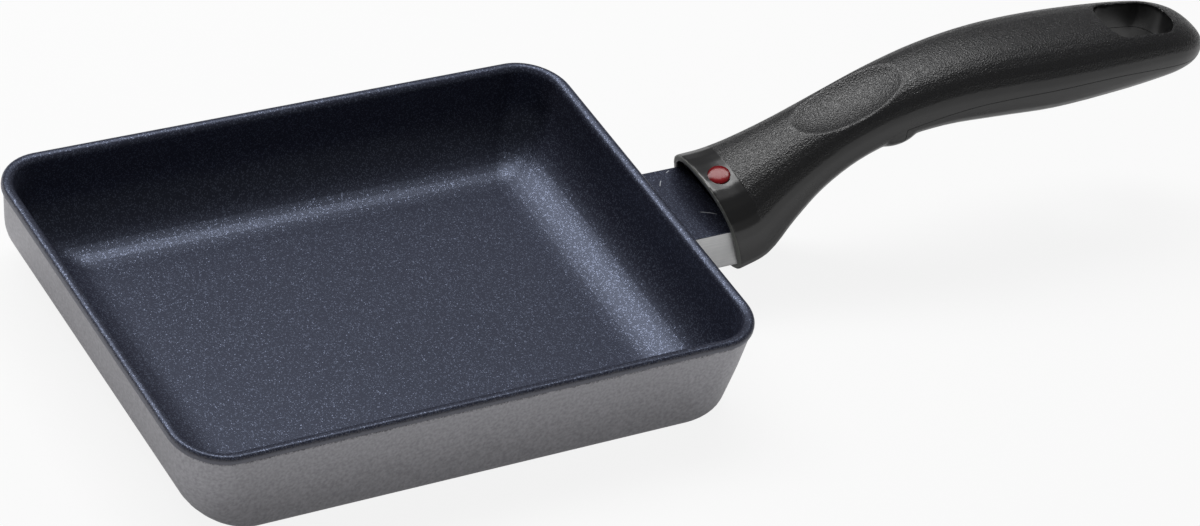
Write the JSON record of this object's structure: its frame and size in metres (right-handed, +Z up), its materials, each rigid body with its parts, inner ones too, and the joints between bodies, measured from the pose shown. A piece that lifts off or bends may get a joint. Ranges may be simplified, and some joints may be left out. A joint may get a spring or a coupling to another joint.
{
  "type": "tamagoyaki pan",
  "caption": "Rectangular rolled omelette pan: a low tray with rounded corners and nonstick coating, and a curved black handle with a thumb dent and a hanging hole.",
  "frame": {"origin": "middle of the tray's rim rectangle, on the flat base the pan stands on", "axes": "+Z up out of the tray, +X along the handle from the tray to the hanging hole, +Y to the left when looking along +X"},
  "size_m": [0.3683, 0.1286, 0.0624],
  "materials": {
    "cast_aluminium": "bare machined casting",
    "nonstick_coating": "navy satin nonstick film with fine sparkle",
    "outer_paint": "grey metallic baked paint",
    "black_phenolic": "fine grained black moulding",
    "steel": "zinc plated",
    "badge_plastic": "plain glossy disc"
  },
  "bodies": {
    "root": {"pan_body": "cast_aluminium", "nonstick_coating": "nonstick_coating", "outer_coating": "outer_paint", "handle_shell": "black_phenolic", "under_cover": "black_phenolic", "handle_screw": "steel", "flat_washer": "steel", "spring_washer": "steel", "cover_screw": "steel", "badge": "badge_plastic"}
  },
  "joints": []
}
